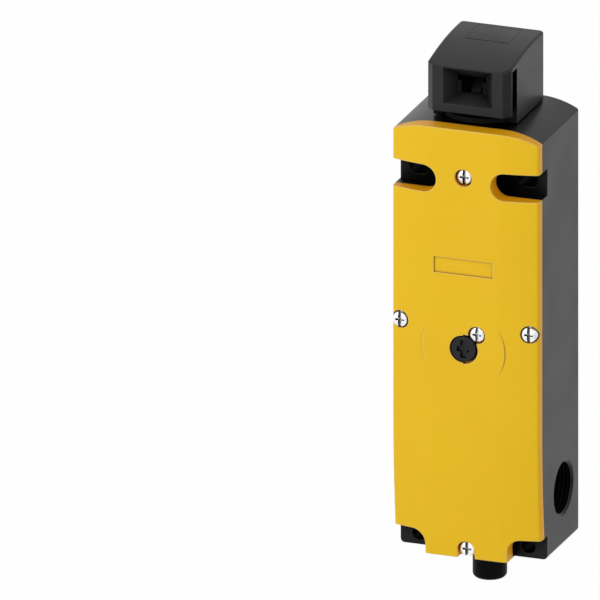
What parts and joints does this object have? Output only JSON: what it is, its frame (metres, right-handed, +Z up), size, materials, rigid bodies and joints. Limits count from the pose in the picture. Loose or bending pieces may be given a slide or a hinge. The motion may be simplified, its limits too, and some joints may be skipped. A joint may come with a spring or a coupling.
{
  "type": "tongue interlock switch",
  "caption": "Slim guard-door interlock: dark housing with a bulged front cover, a turnable head with a tongue funnel, solenoid lock, quarter-turn release and side cable entries.",
  "frame": {"origin": "on the mounting face, midway between the two lower fixing holes", "axes": "+Z up along the switch to its head, +Y into the machine the back is screwed to, so the yellow front faces -Y and +X is to the right of whoever looks at the front"},
  "size_m": [0.054, 0.0435, 0.1983],
  "materials": {
    "housing_plastic": "fine matt, dark grey",
    "cover_plastic": "satin, signal yellow",
    "head_plastic": "fine matt, near black",
    "black_plastic": "satin black",
    "seal_rubber": "soft black",
    "zinc_steel": "bright zinc",
    "dark_steel": "black oxide",
    "spring_steel": "drawn wire",
    "brass": "turned",
    "copper_winding": "enamelled wire under tape",
    "black_casting": "black coat on a casting",
    "natural_plastic": "natural acetal",
    "grey_plastic": "smooth grey"
  },
  "bodies": {
    "housing": {"housing": "housing_plastic", "cover": "cover_plastic", "cover_gasket": "seal_rubber", "cover_screws": "zinc_steel", "seal_screw": "zinc_steel", "threaded_inserts": "brass", "connector_shell": "black_plastic", "connector_insert": "black_plastic", "connector_pins": "brass", "connector_nut": "black_plastic", "connector_seal": "seal_rubber", "head_fork": "spring_steel", "fixed_contacts": "brass", "contact_block": "grey_plastic", "terminal_screws": "zinc_steel", "slide_bracket": "natural_plastic", "solenoid_yoke": "zinc_steel", "coil_bobbin": "black_plastic", "coil_winding": "copper_winding", "solenoid_core": "dark_steel", "plunger_spring": "spring_steel", "armature_spring": "spring_steel"},
    "head": {"head_hood": "head_plastic", "head_base": "black_casting", "head_seal": "seal_rubber", "top_plug": "head_plastic", "guide_plate": "dark_steel", "cam_axle": "spring_steel", "cam_spring": "spring_steel"},
    "cam": {"cam_wheel": "dark_steel"},
    "plunger": {"plunger": "natural_plastic", "contact_bridges": "brass"},
    "armature": {"armature": "dark_steel", "armature_pin": "spring_steel"},
    "lock_slide": {"lock_slide": "dark_steel"},
    "release": {"release_knob": "black_plastic", "release_seal": "seal_rubber", "release_clip": "spring_steel"}
  },
  "joints": [
    {"name": "head_turn", "type": "hinge", "parent": "housing", "child": "head", "pos_m": [0, -0.0212, 0.1543], "axis": [0, 0, 1], "range_deg": [-180, 180]},
    {"name": "cam_turn", "type": "hinge", "parent": "head", "child": "cam", "pos_m": [0, -0.0212, 0.1592], "axis": [-1, 0, 0], "range_deg": [0, 40]},
    {"name": "plunger_slide", "type": "slide", "parent": "housing", "child": "plunger", "axis": [0, 0, 1], "range_m": [0, 0.004], "stiffness_N_per_m": 60, "springref_m": -0.002, "deforming": ["plunger_spring"]},
    {"name": "armature_slide", "type": "slide", "parent": "housing", "child": "armature", "axis": [0, 0, 1], "range_m": [0, 0.0045], "deforming": ["armature_spring"]},
    {"name": "lock_slide_travel", "type": "slide", "parent": "housing", "child": "lock_slide", "axis": [0, -1, 0], "range_m": [0, 0.0045]},
    {"name": "release_turn", "type": "hinge", "parent": "housing", "child": "release", "pos_m": [0, -0.036, 0.0738], "axis": [0, 1, 0], "range_deg": [0, 90]}
  ],
  "couplings": [
    {"joint": "cam_turn", "follows": "plunger_slide", "rad_per_m": 174.53},
    {"joint": "lock_slide_travel", "follows": "armature_slide", "ratio": 1}
  ]
}
